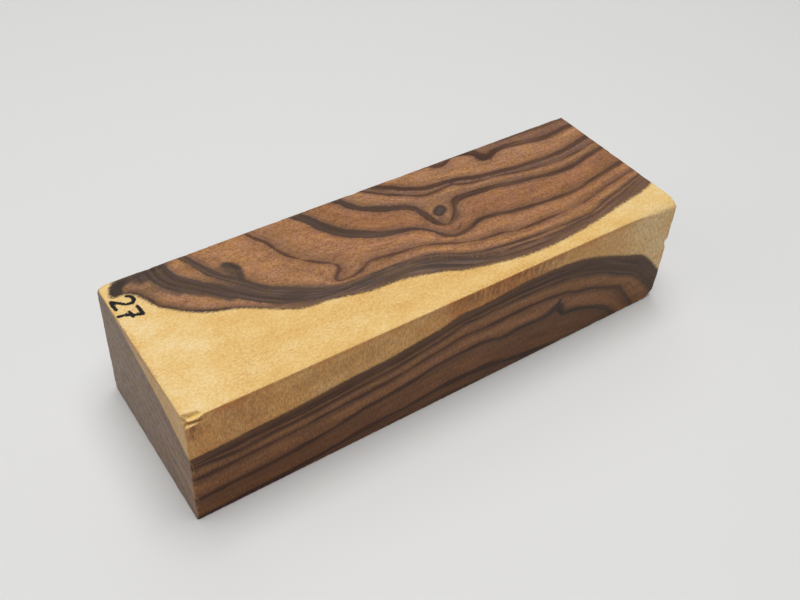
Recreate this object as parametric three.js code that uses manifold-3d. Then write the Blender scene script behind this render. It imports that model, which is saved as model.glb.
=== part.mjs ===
// A sawn block of desert ironwood: one piece of solid wood, pale sapwood on one long corner and dark heartwood.
// Millimetres, +Z up. The origin is the middle of the underside, +X runs along the grain to the right-hand end
// and -Y is the front side, where the sapwood shows.
import * as THREE from "three";
import { ConvexGeometry } from "three/addons/geometries/ConvexGeometry.js";
import { mergeVertices } from "three/addons/utils/BufferGeometryUtils.js";
import Module from "manifold-3d";

// The block as sawn. The length is taken along the bottom front edge, the longest of the four.
const length = 130.5;
const width = 43;
const height = 31;

// The long edges and the ends are eased only as much as handling wears them.
const edgeRadius = 0.4;
const endEdgeRadius = 0.3;
const edgeSteps = 3;

// The two end cuts are a little out of square: each leans inwards by this much over the full height and width.
const leftLean = { up: 0.3, back: 0.3 };
const rightLean = { up: 0.3, back: 0.1 };

// Corners that are missing, as distances from the sharp corner along the block's three directions.
// The wane at the top right is rounded, so two faces that cross make it.
const waneOnTopRight = { along: 14, across: 5.6, down: 1.1 };
const waneTip = { along: 8.5, across: 2.3, down: 1.7 };
const wornBottomRight = { along: 2.2, across: 1.4, down: 2.3 };
const wornBackLeft = { along: 1.3, across: 1.2, down: 1 };

// The fibres tore out of the top front left corner, and a small flake left the front right edge.
const tornCorner = { along: 3.3, across: 1.7, down: 2.2 };
const flake = { height: 18.6, tall: 1.5, deep: 0.45 };

const reach = 3; // how far a cutter stands out of the wood
const mergeDistance = 1e-3;

const wasm = await Module();
wasm.setup();

// A closed three.js geometry as a solid that can be cut.
function solidOf(geometry) {
  const bare = geometry.clone();
  bare.deleteAttribute("normal");
  bare.deleteAttribute("uv");
  const merged = mergeVertices(bare, mergeDistance);
  return new wasm.Manifold(
    new wasm.Mesh({
      numProp: 3,
      vertProperties: new Float32Array(merged.attributes.position.array),
      triVerts: new Uint32Array(merged.index.array),
    }),
  );
}

// A solid back as a three.js geometry.
function geometryOf(solid) {
  const mesh = solid.getMesh();
  const geometry = new THREE.BufferGeometry();
  geometry.setAttribute("position", new THREE.BufferAttribute(mesh.vertProperties, 3));
  geometry.setIndex(new THREE.BufferAttribute(mesh.triVerts, 1));
  geometry.computeVertexNormals();
  return geometry;
}

// The section across the grain: a rectangle with its four corners rounded.
function section() {
  const right = width / 2 - edgeRadius;
  const top = height / 2 - edgeRadius;
  const outline = new THREE.Shape();
  outline.absarc(right, top, edgeRadius, 0, Math.PI / 2);
  outline.absarc(-right, top, edgeRadius, Math.PI / 2, Math.PI);
  outline.absarc(-right, -top, edgeRadius, Math.PI, 1.5 * Math.PI);
  outline.absarc(right, -top, edgeRadius, 1.5 * Math.PI, 2 * Math.PI);
  return outline;
}

// The sawn block before any corner is lost: the section run along the grain, its end edges bevelled round.
function sawnBlock() {
  const geometry = new THREE.ExtrudeGeometry(section(), {
    depth: length - 2 * endEdgeRadius,
    curveSegments: edgeSteps,
    bevelEnabled: true,
    bevelThickness: endEdgeRadius,
    bevelSize: endEdgeRadius,
    bevelOffset: -endEdgeRadius,
    bevelSegments: edgeSteps,
  });
  geometry.translate(0, height / 2, endEdgeRadius - length / 2);
  // The outline's two directions become Y and Z, and the run becomes X.
  const turn = new THREE.Matrix4().makeBasis(
    new THREE.Vector3(0, 1, 0),
    new THREE.Vector3(0, 0, 1),
    new THREE.Vector3(1, 0, 0),
  );
  geometry.applyMatrix4(turn);
  leanEnds(geometry);
  return geometry;
}

// Every vertex lies at one end or the other, so the two end faces tilt and the long faces stay flat.
function leanEnds(geometry) {
  const position = geometry.attributes.position;
  for (let i = 0; i < position.count; i += 1) {
    const x = position.getX(i);
    const back = position.getY(i) / width + 0.5;
    const up = position.getZ(i) / height;
    const shift =
      x < 0
        ? leftLean.up * up + leftLean.back * back
        : -(rightLean.up * up + rightLean.back * back);
    position.setX(i, x + shift);
  }
}

// A cutter for one corner. side holds -1 or 1 along X, Y and Z: the corner that goes.
// The cut face runs through the three points at the given distances from the sharp corner.
function cornerCutter(side, { along, across, down }) {
  const lean = side.x < 0 ? leftLean : rightLean;
  const up = side.z > 0 ? lean.up : 0;
  const back = side.y > 0 ? lean.back : 0;
  const corner = new THREE.Vector3(
    side.x * (length / 2 - up - back),
    (side.y * width) / 2,
    side.z > 0 ? height : 0,
  );
  const edges = [
    new THREE.Vector3(-side.x * along, 0, 0),
    new THREE.Vector3(0, -side.y * across, 0),
    new THREE.Vector3(0, 0, -side.z * down),
  ];
  // The same slanted face pushed past each edge, so that the cutter leaves no skin on the block's faces.
  const points = edges.map((edge, i) => {
    const others = edges.filter((_, j) => j !== i);
    const out = others.reduce((sum, other) => sum.sub(other), new THREE.Vector3());
    return corner.clone().addScaledVector(edge, 2).addScaledVector(out, 0.5);
  });
  const tip = edges.reduce((sum, edge) => sum.addScaledVector(edge, -reach), corner.clone());
  return solidOf(new ConvexGeometry([...points, tip]));
}

// The torn corner is scooped rather than sliced: a coarse stretched ball, turned so that no facet lies square.
function tornCornerCutter() {
  const ball = new THREE.IcosahedronGeometry(1, 1);
  ball.rotateX(0.5);
  ball.rotateZ(0.35);
  ball.scale(tornCorner.along, tornCorner.across, tornCorner.down);
  ball.translate(-length / 2 + leftLean.up, -width / 2, height);
  return solidOf(ball);
}

// The flake is a shallow lens out of the upright edge.
function flakeCutter() {
  const lens = new THREE.OctahedronGeometry(1, 1);
  lens.scale(flake.deep * 2, flake.deep * 2, flake.tall);
  const lean = (rightLean.up * flake.height) / height;
  lens.translate(length / 2 - lean + flake.deep, -width / 2 - flake.deep, flake.height);
  return solidOf(lens);
}

function ironwoodBlock() {
  const wood = solidOf(sawnBlock())
    .subtract(cornerCutter(new THREE.Vector3(1, -1, 1), waneOnTopRight))
    .subtract(cornerCutter(new THREE.Vector3(1, -1, 1), waneTip))
    .subtract(cornerCutter(new THREE.Vector3(1, -1, -1), wornBottomRight))
    .subtract(cornerCutter(new THREE.Vector3(-1, 1, 1), wornBackLeft))
    .subtract(tornCornerCutter())
    .subtract(flakeCutter());
  const material = new THREE.MeshStandardMaterial({
    color: "#8a5a33",
    roughness: 0.62,
    metalness: 0,
  });
  const mesh = new THREE.Mesh(geometryOf(wood), material);
  mesh.name = "ironwood_block";
  return mesh;
}

const group = new THREE.Group();
group.add(ironwoodBlock());

export default group;
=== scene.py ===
# A sawn block of desert ironwood on a pale floor.
# The block is one grown piece: pale sapwood on one long corner, and dark figured heartwood behind it.
# Its growth rings are one field through the whole solid, so a line that leaves a face goes on round the
# arris on the next.
import math

import bpy
import numpy as np
from mathutils import Matrix, Vector


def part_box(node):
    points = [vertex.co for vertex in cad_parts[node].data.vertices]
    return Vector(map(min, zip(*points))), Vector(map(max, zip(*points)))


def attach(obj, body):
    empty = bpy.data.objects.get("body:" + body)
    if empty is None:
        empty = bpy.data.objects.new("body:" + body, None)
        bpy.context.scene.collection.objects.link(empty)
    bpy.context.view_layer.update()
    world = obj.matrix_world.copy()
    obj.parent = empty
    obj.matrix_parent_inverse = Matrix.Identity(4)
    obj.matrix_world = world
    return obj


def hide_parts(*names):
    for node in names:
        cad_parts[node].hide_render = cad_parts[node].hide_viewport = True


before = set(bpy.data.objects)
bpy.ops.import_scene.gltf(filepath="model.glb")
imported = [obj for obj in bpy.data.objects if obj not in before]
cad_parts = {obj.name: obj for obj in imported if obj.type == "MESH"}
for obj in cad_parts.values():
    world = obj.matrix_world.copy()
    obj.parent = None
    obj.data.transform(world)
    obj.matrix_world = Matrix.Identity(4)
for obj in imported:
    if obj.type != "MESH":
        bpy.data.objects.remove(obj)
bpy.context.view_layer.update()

NODE = "ironwood_block"
MM = 0.001

# The block is worked in its own millimetres: x along the grain from the left end, y back from the front
# face, z up from the underside. BLOCK_ORIGIN is this frame's origin in them.
LENGTH, WIDTH, HEIGHT = 130.0, 43.0, 31.0
BLOCK_ORIGIN = np.array([64.92, 21.5, 0.0])

# The block as sawn
ROWS = (262, 87, 63)  # rows of vertices along, across and up, about half a millimetre apart
ARRIS_RADIUS = 0.3
ARRIS_WANDER = 0.55  # the most that handling adds to the radius
CLOSE_ROWS = 2.0  # the rows are drawn together within this distance of an arris
CLOSENESS = 0.32
SAW_PITCH = 1.7
SAW_DEPTH = 0.035
SAW_SLANT = (1.0, 0.33, 0.28)  # the way across the saw's arcs
SANDED_SHARE = 0.25  # how much of the saw marks the sanding left on the top
FUZZ_DEPTH = 0.03
SEED = 7.0
# Noises of the blank, whose scales are per metre
HANDLING = {"Scale": 260.0, "Detail": 3.0, "Roughness": 0.6}
LIFTED_FIBRES = {"Scale": 900.0, "Detail": 2.0}
# Ranges of the blank, by a Map Range node's inputs: what runs from 1 to 2 comes out from 3 to 4, or 0 to 1.
MORE_WORN = {1: 0.5, 2: 0.8}
SANDED_TOP = {1: 0.3, 2: 0.9, 3: 1.0, 4: SANDED_SHARE}

# The ends lean inwards over the full height and over the full width.
LEFT_LEAN = (0.3, 0.3)
RIGHT_LEAN = (0.3, 0.1)

# The wane: how far the front arris has dropped at the top right, and how far back the loss reaches.
WANE_DROP = [
    (114.5, 0), (117, 0.3), (119, 0.65), (122.5, 1.1), (124.3, 1.6), (126, 1.15), (128, 1.35), (130.5, 1.65),
]
WANE_REACH = [(114.5, 1.2), (122, 3.4), (130.5, 5.0)]
WANE_CURVE = 3.2
WANE_BLEND = 7.0  # the side below the wane is drawn down over this height

# Two corners are worn flat. Each has its place, and how far the loss reaches along the edges that meet there.
BOTTOM_RIGHT = (LENGTH, 0.0, 0.0)
BOTTOM_RIGHT_LEGS = (2.2, 1.4, 2.3)
BACK_LEFT = (0.4, WIDTH, HEIGHT)
BACK_LEFT_LEGS = (1.3, 1.2, 1.0)
WEAR_SOFTNESS = 0.25
WEAR_BELT = 1.0  # the wear is felt this far inside its plane
# One corner is torn: the scoop's middle, its reach along the edges, the way it sank in, and its ledges, as a
# share of the reach and how many radians they turn in a millimetre.
TORN_MIDDLE = (0.2, 0.0, HEIGHT)
TORN_REACH = (3.4, 1.6, 2.3)
TORN_WAY = (0.75, 0.45, -0.5)
CROSS_LEDGE = (0.16, 3.1)
LEDGES_PER_MM = 1.8
LEDGE_SHIFT = 1.7
DOWN_LEDGE = (0.10, 5.3)
FLAKE = {"z": 18.2, "tall": 1.4, "deep": 0.4, "reach": 1.1}


def srgb(hex_code):
    """The linear colour of an sRGB hex value."""
    channels = [int(hex_code[i:i + 2], 16) / 255 for i in (1, 3, 5)]
    return tuple(c / 12.92 if c <= 0.04045 else ((c + 0.055) / 1.055) ** 2.4 for c in channels) + (1.0,)


def add(tree, kind, links=None, stops=None, **settings):
    """Adds a node. Each of its links is a value, an output, or a node that stands for its first output."""
    node = tree.nodes.new(kind)
    for name, value in settings.items():
        setattr(node, name, value)
    for key, value in (links or {}).items():
        if isinstance(value, bpy.types.Node):
            value = value.outputs[0]
        if isinstance(value, bpy.types.NodeSocket):
            tree.links.new(value, node.inputs[key])
        else:
            node.inputs[key].default_value = value
    if stops:
        elements = node.color_ramp.elements
        while len(elements) < len(stops):
            elements.new(0.5)
        for element, (position, colour) in zip(elements, stops):
            element.position = position
            element.color = srgb(colour)
    return node


# Camera

CAMERA_AT = (-103.79, -136.82, 173.35)
CAMERA_FORWARD = Vector((0.43883, 0.58415, -0.68278))
CAMERA_UP = Vector((0.35715, 0.58387, 0.72907))
LENS = 44.466
SENSOR = 36.0
NEAREST_SEEN = 0.01  # metres


def make_camera():
    """The camera where the photo was taken from, as fitted to the block's corners."""
    data = bpy.data.cameras.new("camera")
    data.lens = LENS
    data.sensor_width = SENSOR
    data.clip_start = NEAREST_SEEN
    camera = bpy.data.objects.new("camera", data)
    bpy.context.scene.collection.objects.link(camera)
    forward = CAMERA_FORWARD.normalized()
    right = forward.cross(CAMERA_UP).normalized()
    turn = Matrix((right, right.cross(forward), -forward)).transposed()
    camera.matrix_world = Matrix.Translation(Vector(CAMERA_AT) * MM) @ turn.to_4x4()
    bpy.context.scene.camera = camera


# Floor and light

FLOOR_SIZE = 3.0
FLOOR_COLOUR = "#e6e6e5"
CARD_ROUGHNESS = 0.9
CARD_SPECULAR = 0.2
LIGHT_SIZE = 0.65
# Each soft light's place in metres, with its power in watts
LIGHTS = {
    "overhead_light": ((0.0, 0.0, 0.9), 5.9),
    "back_light": ((0.25, 0.45, 0.7), 0.9),
    "near_light": ((-0.3, -0.5, 0.7), 1.3),
    "left_light": ((-0.6, 0.2, 0.5), 0.75),
    "right_light": ((0.6, 0.1, 0.5), 0.2),
}
SKY_COLOUR = "#ffffff"
SKY_STRENGTH = 0.01


def make_floor():
    """The plain card that the block lies on."""
    mesh = bpy.data.meshes.new("floor")
    s = FLOOR_SIZE / 2
    mesh.from_pydata([(-s, -s, 0), (s, -s, 0), (s, s, 0), (-s, s, 0)], [], [(0, 1, 2, 3)])
    floor = bpy.data.objects.new("floor", mesh)
    bpy.context.scene.collection.objects.link(floor)
    # Uncoated card, matt and pale: it shows a soft shadow and no reflection of the block.
    material = bpy.data.materials.new("matt_pale_card")
    material.use_nodes = True
    shader = material.node_tree.nodes["Principled BSDF"]
    shader.inputs["Base Color"].default_value = srgb(FLOOR_COLOUR)
    shader.inputs["Roughness"].default_value = CARD_ROUGHNESS
    shader.inputs["Specular IOR Level"].default_value = CARD_SPECULAR
    mesh.materials.append(material)


def make_lights():
    """Wide soft lights, a faint even sky, and the plain view of colours."""
    for name, (place, power) in LIGHTS.items():
        data = bpy.data.lights.new(name, "AREA")
        data.shape = "DISK"
        data.size = LIGHT_SIZE
        data.energy = power
        light = bpy.data.objects.new(name, data)
        bpy.context.scene.collection.objects.link(light)
        light.location = place
        light.rotation_euler = (-Vector(place)).to_track_quat("-Z", "Y").to_euler()
    world = bpy.data.worlds.new("studio")
    world.use_nodes = True
    background = world.node_tree.nodes["Background"]
    background.inputs["Color"].default_value = srgb(SKY_COLOUR)
    background.inputs["Strength"].default_value = SKY_STRENGTH
    bpy.context.scene.world = world
    bpy.context.scene.view_settings.view_transform = "Standard"


# The sawn blank

BLANK_INPUTS = (
    ("Size", "NodeSocketVector"),
    ("Rows along", "NodeSocketInt"),
    ("Rows across", "NodeSocketInt"),
    ("Rows up", "NodeSocketInt"),
    ("Close rows", "NodeSocketFloat"),
    ("Closeness", "NodeSocketFloat"),
    ("Arris radius", "NodeSocketFloat"),
    ("Arris wander", "NodeSocketFloat"),
    ("Saw pitch", "NodeSocketFloat"),
    ("Saw depth", "NodeSocketFloat"),
    ("Fuzz depth", "NodeSocketFloat"),
    ("Seed", "NodeSocketFloat"),
    ("Wood", "NodeSocketMaterial"),
)


def blank_tree():
    """A centred block of fine rows, drawn together and rounded at the arrises, marked inwards by the saw."""
    tree = bpy.data.node_groups.new("sawn_blank", "GeometryNodeTree")
    for name, kind in BLANK_INPUTS:
        tree.interface.new_socket(name, in_out="INPUT", socket_type=kind)
    tree.interface.new_socket("Geometry", in_out="OUTPUT", socket_type="NodeSocketGeometry")
    given = add(tree, "NodeGroupInput").outputs
    grid = add(tree, "GeometryNodeMeshCube", {
        "Size": given["Size"],
        "Vertices X": given["Rows along"],
        "Vertices Y": given["Rows across"],
        "Vertices Z": given["Rows up"],
    })
    half = add(tree, "ShaderNodeVectorMath", {0: given["Size"], "Scale": 0.5}, operation="SCALE")
    place = add(tree, "GeometryNodeInputPosition")

    # Rows near an arris come together, and those between move apart to make up for it.
    side = add(tree, "ShaderNodeVectorMath", {0: place}, operation="SIGN")
    reach = add(tree, "ShaderNodeVectorMath", {0: place}, operation="ABSOLUTE")
    inwards = add(tree, "ShaderNodeVectorMath", {0: half, 1: reach}, operation="SUBTRACT")
    close = add(tree, "ShaderNodeVectorMath", {0: inwards, "Scale": given["Closeness"]}, operation="SCALE")
    kept = add(tree, "ShaderNodeMath", {0: given["Close rows"], 1: given["Closeness"]}, operation="MULTIPLY")
    wide = add(tree, "ShaderNodeVectorMath", {0: half, 1: kept}, operation="SUBTRACT")
    narrow = add(tree, "ShaderNodeVectorMath", {0: half, 1: given["Close rows"]}, operation="SUBTRACT")
    stretch = add(tree, "ShaderNodeVectorMath", {0: wide, 1: narrow}, operation="DIVIDE")
    reach_out = add(tree, "ShaderNodeVectorMath", {0: reach, 1: stretch}, operation="MULTIPLY")
    far = add(tree, "ShaderNodeVectorMath", {0: half, 1: reach_out}, operation="SUBTRACT")
    depth = add(tree, "ShaderNodeVectorMath", {0: close, 1: far}, operation="MAXIMUM")
    drawn = add(tree, "ShaderNodeVectorMath", {0: half, 1: depth}, operation="SUBTRACT")
    spaced = add(tree, "ShaderNodeVectorMath", {0: drawn, 1: side}, operation="MULTIPLY")
    rows = add(tree, "GeometryNodeSetPosition", {"Geometry": grid, "Position": spaced})

    # The arris: each vertex comes to within a radius of the box that is smaller by that radius all round.
    handled = {"Vector": place, "W": given["Seed"], **HANDLING}
    worn = add(tree, "ShaderNodeTexNoise", handled, noise_dimensions="4D")
    seldom = add(tree, "ShaderNodeMapRange", {"Value": worn, **MORE_WORN})
    more = add(tree, "ShaderNodeMath", {0: seldom, 1: given["Arris wander"]}, operation="MULTIPLY")
    radius = add(tree, "ShaderNodeMath", {0: given["Arris radius"], 1: more}, operation="ADD")
    core = add(tree, "ShaderNodeVectorMath", {0: half, 1: radius}, operation="SUBTRACT")
    back = add(tree, "ShaderNodeVectorMath", {0: core, "Scale": -1.0}, operation="SCALE")
    below = add(tree, "ShaderNodeVectorMath", {0: place, 1: core}, operation="MINIMUM")
    nearest = add(tree, "ShaderNodeVectorMath", {0: below, 1: back}, operation="MAXIMUM")
    out = add(tree, "ShaderNodeVectorMath", {0: place, 1: nearest}, operation="SUBTRACT")
    way = add(tree, "ShaderNodeVectorMath", {0: out}, operation="NORMALIZE")
    step = add(tree, "ShaderNodeVectorMath", {0: way, "Scale": radius}, operation="SCALE")
    rounded = add(tree, "ShaderNodeVectorMath", {0: nearest, 1: step}, operation="ADD")
    eased = add(tree, "GeometryNodeSetPosition", {"Geometry": rows, "Position": rounded})

    # The saw: arcs across the grain, faint on the top, which was sanded, and a fuzz of lifted fibres.
    normal = add(tree, "GeometryNodeInputNormal")
    facing = add(tree, "ShaderNodeSeparateXYZ", {0: normal}).outputs["Z"]
    sawn = add(tree, "ShaderNodeMapRange", {"Value": facing, **SANDED_TOP})
    slant = add(tree, "ShaderNodeVectorMath", {0: place, 1: SAW_SLANT}, operation="DOT_PRODUCT")
    slant = slant.outputs["Value"]
    turns = add(tree, "ShaderNodeMath", {0: slant, 1: given["Saw pitch"]}, operation="DIVIDE")
    angle = add(tree, "ShaderNodeMath", {0: turns, 1: math.tau}, operation="MULTIPLY")
    wave = add(tree, "ShaderNodeMath", {0: angle}, operation="SINE")
    cut = add(tree, "ShaderNodeMapRange", {"Value": wave, 1: -1.0, 2: 1.0, 3: 0.0, 4: given["Saw depth"]})
    lifted = {"Vector": place, "W": given["Seed"], **LIFTED_FIBRES}
    fibres = add(tree, "ShaderNodeTexNoise", lifted, noise_dimensions="4D")
    fuzz = add(tree, "ShaderNodeMath", {0: fibres, 1: given["Fuzz depth"]}, operation="MULTIPLY")
    both = add(tree, "ShaderNodeMath", {0: cut, 1: fuzz}, operation="ADD")
    inset = add(tree, "ShaderNodeMath", {0: both, 1: sawn}, operation="MULTIPLY")
    sunk = add(tree, "ShaderNodeMath", {0: inset, 1: -1.0}, operation="MULTIPLY")
    shift = add(tree, "ShaderNodeVectorMath", {0: normal, "Scale": sunk}, operation="SCALE")
    marked = add(tree, "GeometryNodeSetPosition", {"Geometry": eased, "Offset": shift})

    smooth = add(tree, "GeometryNodeSetShadeSmooth", {"Geometry": marked})
    whole = add(tree, "GeometryNodeRealizeInstances", {"Geometry": smooth})
    dressed = add(tree, "GeometryNodeSetMaterial", {"Geometry": whole, "Material": given["Wood"]})
    add(tree, "NodeGroupOutput", {"Geometry": dressed})
    return tree


def bake_blank(name, size, wood):
    """The blank as a plain mesh in metres, centred on the origin."""
    tree = blank_tree()
    values = {
        "Size": size,
        "Rows along": ROWS[0],
        "Rows across": ROWS[1],
        "Rows up": ROWS[2],
        "Close rows": CLOSE_ROWS * MM,
        "Closeness": CLOSENESS,
        "Arris radius": ARRIS_RADIUS * MM,
        "Arris wander": ARRIS_WANDER * MM,
        "Saw pitch": SAW_PITCH * MM,
        "Saw depth": SAW_DEPTH * MM,
        "Fuzz depth": FUZZ_DEPTH * MM,
        "Seed": SEED,
        "Wood": wood,
    }
    holder = bpy.data.objects.new(name, bpy.data.meshes.new("holder"))
    bpy.context.scene.collection.objects.link(holder)
    modifier = holder.modifiers.new("blank", "NODES")
    modifier.node_group = tree
    for item in tree.interface.items_tree:
        if item.item_type == "SOCKET" and item.in_out == "INPUT":
            modifier[item.identifier] = values[item.name]
    shown = holder.evaluated_get(bpy.context.evaluated_depsgraph_get())
    mesh = bpy.data.meshes.new_from_object(shown)
    holder.modifiers.clear()
    holder.data = mesh
    return holder


# Hand work on the blank, in block millimetres

def smoothstep(low, high, value):
    """From 0 at low to 1 at high, softly. Low may be the greater."""
    t = np.clip((value - low) / (high - low), 0, 1)
    return t * t * (3 - 2 * t)


def profile(points, at):
    """What the (place, value) points read at each place, straight from one to the next."""
    xs, values = zip(*points)
    return np.interp(at, xs, values)


def lean_ends(p):
    """Leans the end cuts inwards, and what lies between them in step."""
    up, back = p[:, 2] / HEIGHT, p[:, 1] / WIDTH
    along = p[:, 0] / LENGTH
    left = LEFT_LEAN[0] * up + LEFT_LEAN[1] * back
    right = RIGHT_LEAN[0] * up + RIGHT_LEAN[1] * back
    p[:, 0] += left * (1 - along) - right * along


def wear_wane(p):
    """The wane: the top falls away towards the front at the right."""
    drop = profile(WANE_DROP, p[:, 0])
    reach = profile(WANE_REACH, p[:, 0])
    lost = drop * np.clip(1 - p[:, 1] / reach, 0, 1) ** WANE_CURVE
    p[:, 2] -= lost * smoothstep(HEIGHT - WANE_BLEND, HEIGHT, p[:, 2])


def wear_corner(p, corner, legs):
    """Flattens what lies beyond the plane through the three points at the legs' distances from the corner."""
    outwards = np.sign(np.array(corner) - np.array([LENGTH, WIDTH, HEIGHT]) / 2)
    normal = outwards / np.array(legs)
    size = np.linalg.norm(normal)
    normal /= size
    beyond = (p - corner) @ normal + 1 / size
    soft = WEAR_SOFTNESS * np.logaddexp(0, beyond / WEAR_SOFTNESS)
    near = beyond > -WEAR_BELT
    p[near] -= soft[near, None] * normal


def tear_corner(p):
    """A scoop out of the top front left corner that broke along the fibres, in ledges."""
    radii = np.array(TORN_REACH)
    way = np.array(TORN_WAY)
    steps = LEDGE_SHIFT * np.floor(p[:, 2] * LEDGES_PER_MM)
    ledge = 1 + CROSS_LEDGE[0] * np.sin(CROSS_LEDGE[1] * p[:, 1] + steps)
    ledge += DOWN_LEDGE[0] * np.sin(DOWN_LEDGE[1] * p[:, 2])
    q = (p - TORN_MIDDLE) / radii / ledge[:, None]
    e = way / radii / ledge[:, None]
    a, b, c = (e * e).sum(1), 2 * (q * e).sum(1), (q * q).sum(1) - 1
    t = (-b + np.sqrt(np.maximum(b * b - 4 * a * c, 0))) / (2 * a)
    inside = c < 0
    p[inside] += t[inside, None] * way
    return inside


def chip_flake(p):
    """The shallow flake out of the front right upright arris."""
    tall = np.clip(1 - ((p[:, 2] - FLAKE["z"]) / FLAKE["tall"]) ** 2, 0, 1)
    aside = np.hypot(LENGTH - p[:, 0], p[:, 1])
    near = np.clip(1 - aside / FLAKE["reach"], 0, 1)
    push = FLAKE["deep"] * tall * near * (p[:, 0] > LENGTH / 2)
    p[:, 0] -= push
    p[:, 1] += push


# Growth rings: lines of equal age, drawn on the faces that show, and carried through the wood

# On the top face, as (x, y)
TOP_RINGS = {
    0: [(5.2, 43.4), (3.4, 42.2), (2.2, 40.6), (1.6, 38.7), (2.4, 37.9), (4.3, 38.0), (5.9, 37.2),
        (7.0, 35.4), (8.0, 33.0), (9.2, 30.4), (11.0, 28.6), (13.1, 26.6), (14.9, 25.2), (16.8, 24.1),
        (19.8, 22.9), (22.5, 22.0), (25.1, 20.5), (27.7, 18.7), (30.3, 17), (33.8, 15.1), (36.8, 14.5),
        (40.3, 14.3), (45.1, 13.1), (49, 12.1), (53.3, 11.9), (57.7, 11.4), (62, 10.3), (66, 9),
        (70.1, 7.1), (75.3, 5.7), (80.1, 4.65), (85.3, 3.8), (91, 3.5), (97, 3.7), (105.3, 4.5),
        (115.3, 6.2), (124.9, 7.7), (130.4, 9.45)],
    1: [(14.9, 43.4), (14.9, 40), (15.6, 37), (17.3, 34.8), (19.5, 32.2), (21.7, 29.5), (23.8, 26.8),
        (26, 24.2), (28.6, 21.6), (31.2, 19.5), (34.2, 17.5), (38, 16.3), (42, 15.6), (46, 15.35),
        (50, 15.4), (55, 15.4), (60, 15.2), (66, 14.1), (70, 12.1), (75, 9.4), (80, 7.9), (85, 7.2),
        (90, 6.8), (95, 6.5), (105, 6.6), (110, 7.1), (115, 8.4), (120, 9.4), (125, 10.9), (130.4, 12.3)],
    2: [(19.3, 43.4), (20.4, 40.7), (21.8, 37), (23.1, 33.8), (24.7, 31.6), (26.8, 29.2), (28.6, 26.6),
        (30.3, 24.4), (32.9, 22.7), (36, 21), (39, 19.1), (42, 17.6), (44.7, 16.8), (49.9, 16.5),
        (55.1, 16.2), (59.9, 15.9), (66, 15.3), (70.1, 13.3), (75.1, 10.6), (80.1, 9.3), (85.3, 8.6),
        (90.1, 8.1), (95.3, 7.8), (104.9, 7.7), (110.1, 8.1), (115.3, 9.7), (120.1, 10.7), (124.9, 11.9),
        (130.4, 13.2)],
    3: [(34.9, 43.4), (36.2, 40.1), (37.7, 37.5), (38.2, 35.3), (39, 32.5), (40.3, 30.1), (42.5, 27.5),
        (44.7, 25.4), (46.3, 24.1), (47.3, 22.9), (47, 21.6), (45.7, 20.3), (44.6, 19.1), (44.9, 18.2),
        (46.8, 17.9), (49, 18), (50.5, 18.5), (52, 19.5), (53.6, 20.2), (55.5, 20.4), (58.1, 19.9),
        (62, 19.2), (66, 18.9), (70.1, 17.4), (75.1, 14.9), (80.1, 13.5), (85.3, 12.9), (88.3, 11.9),
        (95.3, 11.5), (104.9, 11.4), (110.1, 11.8), (115.3, 12.9), (124.9, 14.8), (130.4, 15.4)],
    4: [(47.2, 43.4), (49.9, 39), (51.2, 35.7), (52.9, 33.1), (55.5, 30.5), (57.7, 28.8), (59.9, 27.4),
        (62.9, 26.3), (66, 25.4), (69.7, 24.1), (71, 23), (72.3, 21.4), (73.3, 19.7), (74.2, 18.4),
        (75.3, 17.7), (77.5, 17.6), (80.1, 18), (82.7, 18.8), (85.3, 19.3), (88.3, 18.8), (91.8, 18.1),
        (95.3, 17.5), (100.1, 16.8), (107.5, 16.4), (111.8, 16.5), (115.3, 17), (120.1, 17.9),
        (124.9, 18.8), (130.4, 19.8)],
    5: [(58.5, 43.4), (60.3, 40.1), (62, 37.5), (66, 34.8), (69.7, 32.8), (72.3, 31.6), (73.6, 29.8),
        (74.2, 26.8), (74.5, 24.4), (75.2, 22.5), (76.4, 21.6), (77.9, 22.2), (80.1, 23.9), (81.4, 25.7),
        (82.7, 27.3), (84.4, 28.4), (86.6, 28.6), (90.1, 28.1), (95.3, 27.6), (98.8, 26.8), (105.7, 25.4),
        (110.1, 24.6), (114.4, 24.3), (117.9, 24.5), (124.9, 26.1), (130.4, 27)],
    6: [(65.4, 43.4), (69.7, 39.3), (72.7, 36.9), (75.3, 35.2), (77.5, 33.8), (80.1, 33.3), (83.6, 33.6),
        (86.6, 33.7), (88.3, 32.9), (91, 31.8), (95.3, 31.1), (100.1, 30.5), (104.9, 29.3), (110.1, 28.5),
        (115.3, 27.9), (120.1, 28.3), (130.4, 30)],
    7: [(67.8, 43.4), (72.3, 40.5), (75.3, 38.3), (77.5, 37), (80.1, 35.8), (85.3, 35.1), (89.2, 34.6),
        (92.7, 33.3), (96.2, 32.5), (100.1, 31.9), (104.9, 31.2), (110.1, 30.8), (115.3, 30.6),
        (120.1, 30.9), (130.4, 32.6)],
    8: [(85.8, 43.6), (87, 41.9), (89, 41.3), (90.8, 42), (93, 42.9), (96, 42.7), (98.4, 41.6),
        (99.3, 39.4), (99.9, 38.1), (101.2, 38.2), (102.8, 39.1), (104.9, 39.8), (107.5, 39.8),
        (110.1, 39.4), (114.4, 38.6), (119, 38), (124.9, 38.3), (130.4, 38.9)],
    9: [(104.5, 43.5), (108, 42.6), (114, 42.2), (120, 42), (125, 42.2), (130.4, 42.7)],
}
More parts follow.
